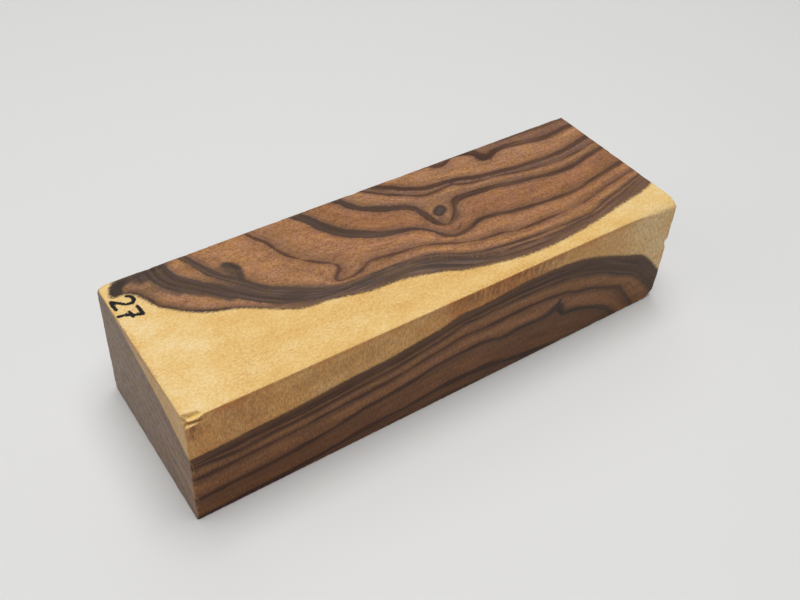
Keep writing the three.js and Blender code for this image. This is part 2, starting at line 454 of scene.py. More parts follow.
# On the front face, as (x, z)
FRONT_RINGS = {
    0: [(-0.3, 19.6), (5.1, 19.7), (15.1, 20.3), (25.1, 20.8), (35.1, 21.8), (44.7, 22.3), (49.9, 22.9),
        (55.1, 23.7), (59.9, 24.4), (62.9, 25.4), (65.1, 25.9), (70.1, 25.7), (75.1, 26.1), (80.1, 26.7),
        (85.3, 26.9), (90.1, 26.8), (95.3, 26.4), (100.1, 25.7), (104.9, 24.3), (109.7, 22.5),
        (114.9, 20.3), (120.1, 18.3), (122.7, 16.6), (124.9, 14.6), (127.5, 11.6), (130.4, 8.2)],
    1: [(-0.3, 17.5), (5, 17.8), (10, 17.9), (15, 18.1), (25, 18.3), (35, 19), (45, 20), (50, 20.6),
        (55, 21.5), (60, 22.4), (63.5, 23.4), (70, 23.6), (80, 24), (90, 23.9), (95, 23.3), (100, 22.3),
        (105, 20.8), (110, 18.8), (115, 16.3), (120, 13.5), (125, 9), (129.2, 4.4)],
    2: [(-0.3, 17.0), (5.1, 16.6), (9.9, 15.9), (15.1, 16.3), (25.1, 16.8), (35.1, 17.7), (44.7, 18.4),
        (49.9, 19), (55.1, 19.8), (59.9, 20.8), (63.3, 21.7), (66, 22.5), (70.1, 22.3), (80.1, 22.7),
        (90.1, 22.2), (95.3, 21.7), (100.1, 20.6), (104.9, 19.2), (109.7, 17.4), (114.9, 14.6),
        (120.1, 12), (124.9, 7.7), (128.8, 3.2)],
    3: [(-0.3, 13.3), (5.1, 12.9), (15.1, 13.3), (25.1, 13.7), (30.1, 14.2), (39.9, 14.9), (49.9, 15.7),
        (55.1, 16.6), (59.9, 17.5), (66, 18.4), (70.1, 18.1), (75.1, 17.9), (80.1, 18.3), (90.1, 17.9),
        (94.4, 17.2), (97.9, 16.7), (100.1, 15.6), (104.9, 14.4), (109.7, 12.4), (114.9, 10), (117, 7.7),
        (119.2, 5), (121.8, 1.6), (122.8, -0.3)],
    4: [(-0.3, 6.6), (9.9, 6.9), (19.9, 7.1), (25.1, 7.7), (30.1, 8.3), (35.1, 9), (39.9, 10),
        (44.7, 10.4), (49.9, 11.1), (55.1, 11.9), (59.9, 12.9), (66, 13.2), (70.1, 13.3), (73.6, 12.9),
        (77, 12), (80.1, 11.8), (82.7, 12.4), (85.3, 12.2), (90.1, 11.7), (92.5, 12.3), (94.4, 13.6),
        (95.5, 12.3), (97, 10.1), (101, 9.4), (104.9, 8.1), (108.3, 6.6), (111, 5), (113.6, 3.1),
        (116.3, 0.2)],
    5: [(-0.3, 0.5), (15, 0.7), (20.7, 0.9), (25.1, 1.3), (30.1, 1.9), (35.1, 2.4), (39.9, 3.1),
        (49.9, 3.5), (55.1, 3.9), (59.9, 4.5), (65.1, 4.7), (70.1, 4.6), (75.1, 4.2), (80.1, 3.1),
        (85.3, 2), (88.3, 1.4), (94.4, 0.7), (98, -0.2)],
    6: [(46, 0.1), (50, 0.5), (56, 0.8), (62, 0.9), (68, 0.7), (72, 0.1)],
}
# On the left end, as (y, z)
LEFT_RINGS = {
    0: [(0, 19.6), (5, 21.6), (10, 23.8), (15, 25.4), (20, 26.7), (25, 28), (30, 29.4), (35, 30.3),
        (39, 30.6), (43, 30.5)],
}
# Ages at the arrises and on the faces that those rings don't reach
FRONT_ARRIS_AGE = [(0, -2.2), (20, -2.2), (21, -1.6), (130, -1.6)]
BACK_ARRIS_AGE = [(0, 11.5), (130, 11.0)]
BACK_AGE = [(0, 4.5), (20, 6), (45, 7.8), (65, 9), (100, 10), (130, 10.6)]
UNDERSIDE_AGE = [(0, 7.6), (60, 8.6), (100, 7.6), (130, 6.2)]
LEFT_TOP_AGE = [(0, -2), (12, -2), (24, -2), (34, -0.8)]
HIDDEN_STATIONS = 14
RING_STEP = 1.2
GRAIN_REACH = 0.5  # a ring changes this much less along the grain than across it
SAME_PLACE = 0.3  # places nearer than this count as one
AT_ONCE = 4000  # points worked out together, to spare memory


def trace(points):
    """A smooth line through the points, in steps of RING_STEP."""
    p = np.array(points, float)
    p = np.vstack([2 * p[0] - p[1], p, 2 * p[-1] - p[-2]])
    stretches = [p[1][None]]
    for a, b, c, d in zip(p[:-3], p[1:-2], p[2:-1], p[3:]):
        n = max(1, round(np.linalg.norm(c - b) / RING_STEP))
        t = (np.arange(1, n + 1) / n)[:, None]
        bend, twist = 2 * a - 5 * b + 4 * c - d, 3 * b - 3 * c + d - a
        stretches.append(0.5 * (2 * b + (c - a) * t + bend * t**2 + twist * t**3))
    return np.vstack(stretches)


def known_ages():
    """Every place whose ring is known, and the rings."""
    places, ages = [], []

    def know(points, age):
        places.append(np.array(points, float).reshape(-1, 3))
        ages.append(np.full(len(places[-1]), float(age)))

    for age, line in TOP_RINGS.items():
        know([(x, y, HEIGHT) for x, y in trace(line)], age)
    for age, line in FRONT_RINGS.items():
        know([(x, 0, z) for x, z in trace(line)], age)
    for age, line in LEFT_RINGS.items():
        know([(0, y, z) for y, z in trace(line)], age)
    for x in np.linspace(0, LENGTH, HIDDEN_STATIONS):
        know([(x, 0, HEIGHT)], profile(FRONT_ARRIS_AGE, x))
        know([(x, WIDTH, 0)], profile(BACK_ARRIS_AGE, x))
        know([(x, WIDTH, HEIGHT / 2)], profile(BACK_AGE, x))
        know([(x, WIDTH / 2, 0)], profile(UNDERSIDE_AGE, x))
    for y, age in LEFT_TOP_AGE:
        know([(0, y, HEIGHT)], age)
    return np.vstack(places), np.concatenate(ages)


def ages_at(p):
    """The ring number at each point, by the smoothest field that agrees with every known place."""
    stretch = np.array([GRAIN_REACH, 1, 1])
    places, ages = known_ages()
    places = places * stretch
    keep = np.unique(np.round(places / SAME_PLACE).astype(int), axis=0, return_index=True)[1]
    places, ages = places[keep], ages[keep]
    n = len(places)
    system = np.zeros((n + 4, n + 4))
    system[:n, :n] = np.linalg.norm(places[:, None] - places[None], axis=2)
    system[:n, n] = 1
    system[:n, n + 1:] = places
    system[n:, :n] = system[:n, n:].T
    weights = np.linalg.solve(system, np.concatenate([ages, np.zeros(4)]))
    found = np.empty(len(p))
    for start in range(0, len(p), AT_ONCE):
        q = p[start:start + AT_ONCE] * stretch
        squares = (q**2).sum(1)[:, None] + (places**2).sum(1)[None] - 2 * q @ places.T
        apart = np.sqrt(np.maximum(squares, 0))
        found[start:start + AT_ONCE] = apart @ weights[:n] + weights[n] + q @ weights[n + 1:]
    return found


# How wide the dark line of each ring is along the grain, as (x, millimetres), and how dark
TOP_LINES = {
    0: [(6, 1.4), (14, 1.5), (20, 1.3), (26, 0.9), (34, 0.7)],
    1: [(14, 1.8), (20, 2.2), (26, 3.2), (34, 2.0), (40, 1.2), (70, 0.8)],
    2: [(19, 2.0), (26, 2.2), (32, 1.7), (44, 1.2), (50, 0.7), (70, 0.8), (110, 0.9), (130, 0.8)],
    3: [(34, 1.2), (44, 0.75), (52, 0.62), (130, 0.6)],
    4: [(45, 2.6), (52, 3.0), (60, 2.8), (66, 1.9), (71, 1.4), (76, 1.1), (84, 1.4), (130, 1.2)],
    5: [(58, 2.3), (66, 2.2), (73, 1.7), (76, 1.2), (80, 1.4), (85, 1.9), (98, 1.7), (112, 1.4), (130, 1.5)],
    6: [(65, 1.2), (75, 1.0), (88, 0.8), (100, 0.9), (130, 0.8)],
    7: [(68, 2.4), (76, 2.0), (84, 1.8), (100, 1.6), (130, 1.4)],
    8: [(86, 1.5), (92, 1.3), (97, 1.8), (101, 1.8), (106, 1.7), (112, 1.9), (118, 2.1), (130, 1.7)],
    9: [(104, 1.0), (130, 1.2)],
}
SIDE_LINES = {
    0: [(0, 0.8), (130, 0.8)],
    1: [(0, 1.0), (60, 0.9), (90, 1.1), (130, 1.4)],
    2: [(0, 1.0), (130, 0.9)],
    3: [(0, 0.9), (90, 0.9), (115, 1.1), (130, 1.1)],
    4: [(0, 1.4), (88, 1.4), (94, 1.7), (98, 1.6), (130, 1.6)],
    5: [(0, 1.5), (130, 1.5)],
    6: [(0, 0.8), (130, 0.8)],
    7: [(0, 1.5), (130, 1.5)],
    8: [(0, 1.3), (130, 1.3)],
    9: [(0, 1.0), (130, 1.4)],
    10: [(0, 1.5), (130, 1.2)],
    11: [(0, 0.8), (130, 1.6)],
}
LINE_DARKNESS = {
    0: 0.93, 1: 0.95, 2: 0.92, 3: 0.9, 4: 0.94, 5: 0.97, 6: 0.86, 7: 0.96, 8: 1.0, 9: 0.8, 10: 0.9, 11: 0.8,
}
OTHER_LINE, OTHER_DARKNESS = 1.0, 0.8
# How strongly the lines show, as (x, share)
LINE_STRENGTH = [(0, 0.97), (92, 0.97), (108, 0.9), (130, 0.88)]
# How reddish brown a line is instead of near black
LINE_REDNESS = {0: 0.3, 3: 0.55, 6: 0.3}

# Where the wood is dark from one ring to the next, as (x, strength) for the ring it follows inwards
TOP_BANDS = {
    0: [(26, 0.0), (33, 0.75), (38, 1.0), (76, 1.0), (86, 0.86), (130, 0.8)],
    1: [(17, 0.0), (20, 0.35), (23, 0.7), (26, 0.9), (34, 0.97), (60, 0.95), (78, 0.8), (90, 0.28),
        (105, 0.5), (130, 0.6)],
    6: [(60, 0.4), (70, 0.5), (75, 0.1), (88, 0.05), (96, 0.4), (104, 0.5), (130, 0.3)],
}
SIDE_BANDS = {
    0: [(0, 1.0), (50, 1.0), (64, 0.88), (130, 0.88)],
    1: [(0, 0.4), (60, 0.45), (96, 0.7), (110, 0.9), (130, 0.88)],
    4: [(0, 0.2), (60, 0.2), (80, 0.3), (130, 0.42)],
    5: [(0, 0.6), (60, 0.5), (130, 0.5)],
}
# A band sets in around its ring and gives out near the next.
BAND_START = (-0.1, 0.1)
BAND_END = (0.88, 1.08)
# How grey the dark wood is rather than brown, as (x, share), on the lines and within the outer band
TOP_GREYNESS = [(45, 1.0), (62, 0.8), (76, 0.45), (130, 0.45)]
TOP_BAND_GREYNESS = [(60, 1.0), (84, 0.7), (130, 0.75)]
SIDE_GREYNESS = [(30, 0.05), (70, 0.4), (95, 0.75), (112, 1.0)]
OUTER_BAND_END = (2.3, 2.0)

# Marks that follow no ring: soft dark strokes on the top (x, y) and the front (x, z), each with its radius,
# how far it fades beyond that, and its strength. The front's first stroke is painted shadow along the bottom
# edge.
TOP_STROKES = [
    ([(12.4, 43), (12.9, 39), (14.5, 35.4), (17.2, 32.5), (20.4, 29.6), (23.4, 26.4)], 1.3, 1.9, 0.85),
    ([(10.4, 42.5), (10.6, 39.5), (12.0, 35.4), (14.2, 32.2)], 0.3, 1.5, 0.7),
    ([(26.5, 35.4), (27.6, 34.6), (28.2, 33.2)], 0.6, 1.2, 0.9),
    ([(28.0, 33.4), (28.1, 32.0), (27.4, 30.2), (27.0, 28.8), (28.2, 26.6), (30.4, 24.4)], 0.4, 1.6, 0.85),
    ([(26.6, 33.8), (26.6, 31.6), (26.8, 29.6)], 0.7, 1.5, 0.74),
    ([(24.6, 34.6), (25.2, 32.4), (26.2, 30.2)], 0.6, 1.7, 0.6),
    ([(2.9, 39.3), (3.3, 40.9), (5.0, 42.0), (8, 42.7), (14, 43)], 1.1, 1.5, 1.0),
    ([(77.4, 19.1), (79.4, 20.4)], 0.1, 0.4, 0.8),
    ([(44.8, 19.0), (46.0, 18.9), (47.3, 19.3)], 0.1, 0.4, 0.5),
    ([(99.1, 42.6), (99.8, 40.4), (100.9, 39.3)], 0.6, 1.1, 0.9),
]
FRONT_STROKES_AND_SHADOW = [
    # Painted shadow: the dark contact shade along the front's bottom edge, deepest at the left corner
    ([(-0.5, 0.3), (6, 0.4), (14, 0.7), (20, 1.0)], 0.5, 1.0, 0.95),
    ([(92.0, 12.8), (93.9, 13.9), (95.4, 15.1)], 0.2, 0.8, 0.9),
    ([(94.6, 14.2), (95.6, 12.4), (96.6, 10.6)], 0.4, 0.9, 0.95),
    ([(93.2, 12.6), (94.8, 12.6)], 0.5, 1.0, 0.7),
]
# The eye of a small knot in the top
EYE_LINE, EYE_RADIUS = [(77.2, 26.5), (78.5, 27.3)], 1.45

# A soft place is full within the first share of its reach and gone at the second.
SOFT_EDGE = (0.45, 1.2)
# Soft dark places: centre, reach along the three directions, strength
DARK_PLACES = [
    ((10.3, 41.0, 31), (5.0, 2.8, 3), 0.85),
    ((9.4, 37.2, 31), (4.0, 4.2, 3), 0.38),
    ((34.0, 19.3, 31), (7.0, 2.6, 3), 0.8),
    ((76.8, 23.9, 31), (1.9, 2.4, 3), 0.45),
    ((88.5, 43.0, 31), (3.0, 1.6, 3), 0.9),
]
# Places where the sapwood is flecked with brown, and one brown patch of painted shade under the torn corner:
# centre, reach, strength
FLECKED_AND_SHADED_PLACES = [
    ((14.5, 4.2, 31), (4.5, 3.0, 3), 0.8),
    ((22.0, 7.5, 31), (9.0, 5.0, 3), 0.6),
    ((46.0, 8.0, 31), (22.0, 5.0, 3), 0.5),
    ((118.0, 3.5, 31), (4.0, 3.0, 3), 0.3),
    ((76.0, 0.0, 29.5), (20.0, 2.0, 3.4), 1.0),
    ((12.0, 0.0, 26.0), (7.0, 2.0, 6.5), 0.4),
    # Painted shade: the brown patch on the front under the torn corner
    ((1.4, 0.0, 27.8), (2.0, 2.0, 3.4), 1.0),
    ((0.2, 24.0, 30.8), (0.9, 15.0, 1.6), 0.9),
    ((0.0, 31.0, 30.0), (0.6, 7.0, 2.4), 0.7),
    ((34.0, 0.0, 27.0), (14.0, 2.0, 3.0), 0.35),
]
# Where crumbs of bright sapwood cling to the top front arris, as (x, share)
CRUMBS = [
    (0, 0.9), (4, 0.7), (6, 0.15), (16, 0.3), (19, 0.8), (27, 0.7), (31, 0.2), (64, 0.2), (67, 0.7),
    (73, 0.6), (76, 0.15), (130, 0.1),
]
CRUMB_STRENGTH = 0.62
CRUMB_BACK = (0.2, 1.5)  # they thin out over these distances from the front
CRUMB_DEPTH = (1.2, 0.4)  # and below the top
# Painted shade: the torn wood's lower part lies in the scoop's shade, so it is drawn brown instead of bright.
TORN_PAINTED_SHADE = (0.7, 1.9)  # how far below the top the torn wood goes from bright to brown

# How stained the front's sapwood is, as (x, strength), and how much browner it is drawn close to the top
# arris
STAIN = [
    (0, 0.7), (8, 0.68), (15, 0.65), (20, 0.5), (40, 0.5), (56, 0.55), (64, 0.95), (80, 0.95), (94, 0.5),
    (104, 0.5), (112, 0.42), (118, 0.24), (130, 0.2),
]
ARRIS_BROWNING = 0.2
ARRIS_BROWNING_AT = (29.2, 30.7)
# Darkening of the faces that weren't sanded, partly their duller sawn surface and partly painted shade: its
# strength, the painted shade it loses going up from the floor, what it gains to the left, and how much less
# of it there is on the faces other than the front
SAWN_DULLING_AND_SHADE = 0.8
SHADE_LOSS_GOING_UP, SHADE_LOSS_GOING_UP_AT = 0.24, (4, 15)
DARKER_TO_LEFT, DARKER_TO_LEFT_AT = 0.3, (60, 8)
LESS_OFF_FRONT = 0.3
# How dull and grey the ends are at the front, partly dust and partly painted sheen, and how much more so at
# the back, where the extra is painted sheen
END_DULLNESS_AND_SHEEN, MORE_SHEEN_AT_BACK = 0.66, 0.46
# Where along the block the sapwood is paler, and how much more so on the front
PALE_LEFT, PALE_RIGHT = (4, 22), (100, 124)
FRONT_PALENESS = 2.0

# The number in marker pen at the left end of the top. Each figure is a list of strokes, as millimetres to the
# right and up.
PEN_GLYPHS = {
    "2": [
        [(0.2, 3.9), (0.9, 4.8), (2.1, 4.9), (2.8, 4.0), (2.5, 2.9), (1.3, 1.6), (0.2, 0.4), (1.5, 0.3),
         (3.1, 0.5)],
    ],
    "7": [
        [(0.1, 4.5), (1.6, 4.7), (3.0, 4.8), (2.3, 3.0), (1.5, 1.4), (1.2, 0.1)],
        [(0.9, 2.5), (2.7, 2.7)],
    ],
}
PEN_NUMBER = "27"
PEN_START = (0.75, 37.4)
PEN_ADVANCE = 3.9
PEN_RADIUS = 0.42

NOWHERE_NEAR = 99.0  # a distance beyond any on the block
RATE_ROUNDS = 4
LEAST_RATE = 0.03  # rings to the millimetre where they run level with the surface
FACE_EDGE = (0.55, 0.8)  # how squarely a vertex faces before it counts as on that face
ARRIS_BELT = (0.1, 0.9)  # from full wear to none, in distance from the arris


def stroke_distance(uv, strokes):
    """Distance to the nearest stroke's edge, below 0 inside it."""
    best = np.full(len(uv), NOWHERE_NEAR)
    for line, radius in strokes:
        points = np.array(line, float)
        for a, b in zip(points[:-1], points[1:]):
            along = b - a
            t = np.clip((uv - a) @ along / (along @ along), 0, 1)
            best = np.minimum(best, np.linalg.norm(uv - a - t[:, None] * along, axis=1) - radius)
    return best


def soft_strokes(uv, strokes):
    """How dark the soft strokes are at each point."""
    found = np.zeros(len(uv))
    for line, radius, fade, strength in strokes:
        distance = stroke_distance(uv, [(line, radius)])
        found = np.maximum(found, strength * (1 - smoothstep(0, fade, distance)))
    return found


def soft_places(p, places):
    """How strong the soft ellipsoids are at each point."""
    found = np.zeros(len(p))
    for centre, reach, strength in places:
        far = np.linalg.norm((p - centre) / reach, axis=1)
        found = np.maximum(found, strength * (1 - smoothstep(*SOFT_EDGE, far)))
    return found


def pen_strokes():
    """The number's strokes on the top face: the figures read along -y, their feet towards the left end."""
    strokes = []
    for i, figure in enumerate(PEN_NUMBER):
        foot = PEN_START[0]
        start = PEN_START[1] - i * PEN_ADVANCE
        for line in PEN_GLYPHS[figure]:
            strokes.append(([(foot + v, start - u) for u, v in line], PEN_RADIUS))
    return strokes


def surface_rate(p, edges, field):
    """How fast the field changes over the surface at each vertex, and that evened out over the neighbours."""
    a, b = edges.T
    run = p[b] - p[a]
    slope = ((field[b] - field[a]) / (run**2).sum(1))[:, None] * run
    total = np.zeros_like(p)
    np.add.at(total, a, slope)
    np.add.at(total, b, slope)
    rate = np.linalg.norm(total, axis=1) / 2
    return even_out(rate, edges, RATE_ROUNDS)


def even_out(values, edges, rounds):
    """Mixes each vertex's value with those of its neighbours, a number of times over."""
    a, b = edges.T
    count = np.bincount(a, minlength=len(values)) + np.bincount(b, minlength=len(values))
    for _ in range(rounds):
        total = np.bincount(a, values[b], len(values)) + np.bincount(b, values[a], len(values))
        values = 0.5 * values + 0.5 * total / count
    return values


def figure_of(p, normals, edges, torn):
    """What the wood's material reads at each vertex, by name."""
    age = ages_at(p)
    rate = np.maximum(surface_rate(p, edges, age), LEAST_RATE)
    top = smoothstep(*FACE_EDGE, normals[:, 2])
    front = smoothstep(*FACE_EDGE, -normals[:, 1])
    end = smoothstep(*FACE_EDGE, np.abs(normals[:, 0]))
    x, y, z = p.T

    ring = np.round(age)
    width = np.full(len(p), OTHER_LINE)
    dark = np.full(len(p), OTHER_DARKNESS)
    red = np.zeros(len(p))
    for n, side_line in SIDE_LINES.items():
        here = ring == n
        on_side = profile(side_line, x[here])
        on_top = profile(TOP_LINES[n], x[here]) if n in TOP_LINES else on_side
        width[here] = on_side + (on_top - on_side) * top[here]
        dark[here] = LINE_DARKNESS[n] * profile(LINE_STRENGTH, x[here])
        red[here] = LINE_REDNESS.get(n, 0.0)
    dark[ring < 0] = 0.0

    band = np.zeros(len(p))
    for share, bands in ((top, TOP_BANDS), (1 - top, SIDE_BANDS)):
        for n, strength in bands.items():
            between = smoothstep(*BAND_START, age - n) * (1 - smoothstep(*BAND_END, age - n))
            band = np.maximum(band, share * between * profile(strength, x))
    in_band = smoothstep(*OUTER_BAND_END, age)
    grey = profile(TOP_GREYNESS, x) * (1 - in_band) + profile(TOP_BAND_GREYNESS, x) * in_band
    grey = top * grey + (1 - top) * profile(SIDE_GREYNESS, x)
    plan, front_view = p[:, :2], p[:, [0, 2]]
    eye = np.where(top > 0.5, stroke_distance(plan, [(EYE_LINE, EYE_RADIUS)]), NOWHERE_NEAR)
    ink = np.where(top > 0.5, stroke_distance(plan, pen_strokes()), NOWHERE_NEAR)
    # The front's strokes include painted shadow along its bottom edge.
    strokes = top * soft_strokes(plan, TOP_STROKES) + front * soft_strokes(front_view, FRONT_STROKES_AND_SHADOW)
    gloom = np.maximum(soft_places(p, DARK_PLACES), strokes)

    size = np.array([LENGTH, WIDTH, HEIGHT])
    inset = np.sort(np.minimum(p, size - p), 1)
    arris = 1 - smoothstep(*ARRIS_BELT, inset[:, 1])
    below_top = HEIGHT - z
    crumbs = (1 - smoothstep(*CRUMB_BACK, y)) * smoothstep(*CRUMB_DEPTH, below_top)
    crumbs *= CRUMB_STRENGTH * profile(CRUMBS, x)
    torn = even_out(torn.astype(float), edges, 1)
    # Painted shade: the tear's lower part is drawn as brown flecks instead of bright torn wood.
    shaded = torn * smoothstep(*TORN_PAINTED_SHADE, below_top)
    torn = np.maximum(torn - shaded, crumbs)
    stain = front * (profile(STAIN, x) + ARRIS_BROWNING * smoothstep(*ARRIS_BROWNING_AT, z))
    # Painted shade: the sawn faces are drawn darker towards the floor, besides their own duller surface.
    sawn_dulling_and_shade = SAWN_DULLING_AND_SHADE - SHADE_LOSS_GOING_UP * smoothstep(*SHADE_LOSS_GOING_UP_AT, z) + DARKER_TO_LEFT * smoothstep(*DARKER_TO_LEFT_AT, x)
    sawn = 1 - top
    unsanded_and_shade = (1 - end) * sawn * np.minimum(sawn_dulling_and_shade - LESS_OFF_FRONT * (1 - front), 1)
    # Painted sheen: the ends are drawn greyer and lighter towards the back, on top of their dust.
    dust_and_sheen = end * (END_DULLNESS_AND_SHEEN + MORE_SHEEN_AT_BACK * y / WIDTH)
    pale = top * (1 - smoothstep(*PALE_LEFT, x)) + (top + FRONT_PALENESS * front) * smoothstep(*PALE_RIGHT, x)
    fleck_and_shade = np.maximum(soft_places(p, FLECKED_AND_SHADED_PLACES), shaded)
    return {
        "age": age, "rate": rate, "line_width": width / 2, "line_dark": dark, "line_red": red, "band": band,
        "eye": eye, "ink": ink, "gloom": gloom, "end_grain": dust_and_sheen, "stain": stain, "fleck_and_shade": fleck_and_shade,
        "arris": arris, "torn": torn, "unsanded_and_shade": unsanded_and_shade, "sawn": sawn, "grey": grey, "pale": pale,
    }


# The wood
# Desert ironwood, band-sawn and lightly sanded, bare of any finish. It is very dense and oily, so it gives
# the eye a close, waxy brown with hardly a pore in it, purple-black lines that follow every ring, and a matt
# yellow sapwood.

WOOD_IOR = 1.5
WOOD_SPECULAR = 0.2  # a bare sawn surface scatters most of what a polished one would mirror

LAST_AGE = 12.0
# Between one ring's line and the next the brown has a colour of its own, given at its age.
HEART_BY_AGE = [
    (0.0, "#70503c"), (0.08, "#8a674c"), (0.22, "#a0775a"), (0.75, "#ad7e5b"), (1.3, "#ad7f5a"),
    (1.7, "#a87b58"), (2.2, "#9a7153"), (2.6, "#a97c59"), (2.95, "#a17555"), (3.15, "#966e52"),
    (3.6, "#ab7b59"), (4.2, "#976b4c"), (4.7, "#9b6d50"), (5.2, "#9d765a"), (5.6, "#a37959"),
    (6.1, "#906a55"), (6.35, "#957261"), (6.65, "#947160"), (6.9, "#8c6755"), (7.3, "#9f7455"),
    (7.7, "#a97d5d"), (8.4, "#8f6a57"), (9.2, "#8a6653"), (10.2, "#9c6e4d"), (11.2, "#8e654d"),
]
# The darker specks of the brown are redder, and the lighter ones paler.
DARK_SPECK_CAST = "#ffe8db"
LIGHT_SPECK_CAST = "#e5fbff"
# Patches of the heartwood lean to one cast or the other.
GOLDEN_CAST = "#fff9de"
PURPLE_CAST = "#f9f3f9"
# From the darkest streak to the lightest, where the dark wood is brown and where it is grey
DARK_BROWN = [(0.1, "#48291a"), (0.45, "#5c3a28"), (0.7, "#714c38"), (0.95, "#8f6954")]
DARK_GREY = [(0.1, "#3f3531"), (0.45, "#4f433e"), (0.7, "#63544d"), (0.95, "#806c64")]
THIN_LINE = "#522b1e"
LINE_BLOOM = "#705546"
EYE_COLOUR = "#55443f"
EYE_RIM = "#47352c"
# The colour that darkens the unsanded faces: partly their duller sawn surface, partly painted shade.
UNSANDED_TONE_AND_SHADE = "#cfc3ad"
SAP_STOPS = [(0.0, "#cd9347"), (0.35, "#e1b268"), (0.6, "#ebc47c"), (1.0, "#f5dba6")]
SAP_STAIN = "#c07339"
# SAP_DASH's brown also draws the painted shade under the torn corner.
SAP_DASH = "#83562f"
SAP_SPECK = "#cb8f42"
SAP_SHADE = "#986843"
# The ends' colours: greyed partly by dust and partly by painted sheen, the glancing reflection off the end
# grain.
END_HEART = "#a4968c"
END_SAP = "#d6b391"
PORE_COLOUR = "#4a2f20"
WORN_ARRIS = "#b98a55"
TORN_WOOD = "#efcf85"
INK = "#1c1b1e"

# How far a pattern is drawn out or squeezed along, across and up
FIBRE_STRETCH = (0.22, 1.0, 1.0)
LONG_STRETCH = (0.07, 1.0, 1.0)
SPECK_STRETCH = (0.75, 1.0, 1.0)
SAWN_STRETCH = (1.3, 1.0, 0.4)
SWELL_STRETCH = (0.12, 0.4, 0.4)
DASH_STRETCH = (1.6, 1.0, 0.5)
SCRATCH_STRETCH = (3.2, 0.5, 0.5)

# Noises: how many to the millimetre, how many finer ones lie over them, and how strong those are
RAGGED_NOISE = {"Scale": 2.2, "Detail": 3.0, "Roughness": 0.65}
SWELL_NOISE = {"Scale": 1.0, "Detail": 1.0}
STREAK_NOISE = {"Scale": 1.0, "Detail": 2.0}
SANDED_NOISE = {"Scale": 2.5, "Detail": 3.0, "Roughness": 0.75}
SAWN_NOISE = {"Scale": 2.0, "Detail": 3.0, "Roughness": 0.75}
CAST_NOISE = {"Scale": 0.5, "Detail": 2.5, "Roughness": 0.7}
HEART_NOISE = {"Scale": 0.55, "Detail": 2.0}
SAP_NOISE = {"Scale": 2.2, "Detail": 3.0, "Roughness": 0.75}
DRIFT_NOISE = {"Scale": 0.16, "Detail": 3.0, "Roughness": 0.6}
STAIN_NOISE = {"Scale": 0.3, "Detail": 5.0, "Roughness": 0.75}
DASH_NOISE = {"Scale": 1.0, "Detail": 4.0, "Roughness": 0.7}
END_NOISE = {"Scale": 0.9, "Detail": 4.0, "Roughness": 0.7}
SCRATCH_NOISE = {"Scale": 1.0, "Detail": 3.0, "Roughness": 0.7}

# Streaks that follow the rings, as how many to a ring, a shift that sets each apart, and its strength
STREAKS = {"fine": (17.0, 0.0, 0.18), "layers": (7.5, 9.0, 0.4), "broad": (2.6, 4.0, 0.16)}

# Ranges, by a Map Range node's inputs: what runs from input 1 to input 2 comes out from 3 to 4, or 0 to 1.
RAGGED_MM = {1: 0.25, 2: 0.75, 3: -0.17, 4: 0.17}  # how far fibres carry colour over a line
SWELL_MM = {1: 0.25, 2: 0.75, 3: -0.3, 4: 0.3}
LINE_CORE = {1: 0.4, 2: -0.35}
LINE_SKIRT = {1: 1.5, 2: 0.0, 4: 0.3}
HEART_LIGHT = {1: 0.25, 2: 0.75, 3: 0.48, 4: 1.86}
HEART_MOTTLE = {1: 0.25, 2: 0.75, 3: -0.22, 4: 0.22}
SPECK_CAST = {1: 0.3, 2: 0.7}
PATCH_CAST = {1: 0.38, 2: 0.62}
BLOOM_MM = {1: 3.4, 2: 0.4}
BLOOM_START = {1: -0.2, 2: 0.3}
BLOOM_STRENGTH = {1: 0.8, 2: 0.0, 3: 0.15, 4: 0.45}
BAND_DEEPENING = {1: -0.2, 2: 1.3, 3: 0.25, 4: 0.97}
GLOOM_EDGE = {1: 0.1, 2: 1.0}
MIDDLE_STREAK = 0.5
LINE_DEEPENING = {1: 0.5, 2: 1.0, 3: 0.0, 4: -0.22}
EYE_EDGE = {1: 0.6, 2: -0.45}
EYE_RIM_EDGE = {1: -1.1, 2: -0.2}
SAP_MOTTLE = {1: 0.25, 2: 0.75, 3: 0.2, 4: 0.9}
SAP_DRIFT = {1: 0.3, 2: 0.7, 3: -0.18, 4: 0.18}
PALE_LIFT = 0.15
STAIN_PATCHES = {1: 0.35, 2: 0.65, 3: 0.62, 4: 1.02}
DASH_EDGE = {1: 0.38, 2: 0.66}
SPECK_EDGE = {1: 0.5, 2: 0.66}
SAP_SHADING = {1: 0.58, 2: 0.32, 3: 0.0, 4: 0.5}
SAWN_LIGHT = {1: 0.25, 2: 0.75, 3: -0.1, 4: 0.32}
SAP_EDGE_MM = {1: 0.25, 2: 0.75, 3: -0.4, 4: 0.4}
HEART_START = {1: -0.6, 2: 0.35}
END_PATCHES = {1: 0.32, 2: 0.68, 3: 0.35, 4: 1.15}
WORN_EDGE = {1: 0.45, 2: 0.6}
WORN_STRENGTH = 0.4
FRESH_TEAR = {1: 0.0, 2: 1.0, 3: -1.4, 4: 1.2}
TEAR_CRUMBS = {1: 0.4, 2: 0.6, 3: -0.3, 4: 0.7}
INK_BLEED_MM = {1: 0.3, 2: 0.7, 3: -0.1, 4: 0.1}
INK_EDGE = {1: 0.1, 2: -0.1}

# Real pores are under 0.1 mm across, too fine to show, so they are drawn at about twice that.
PORES_PER_MM = (0.45, 1.7, 1.7)
PORE_EDGE = {1: 0.26, 2: 0.1}
PORE_CHOICE = {1: 0.5, 2: 0.8}  # only some of the cells have one
PORE_STRENGTH = 0.22

RELIEF_MM = 0.05
PORE_SINK = -0.5
FIBRE_RISE = 0.8
ROUGHNESS = {1: 0.2, 2: 0.8, 3: 0.46, 4: 0.62}
END_ROUGHNESS = 0.12

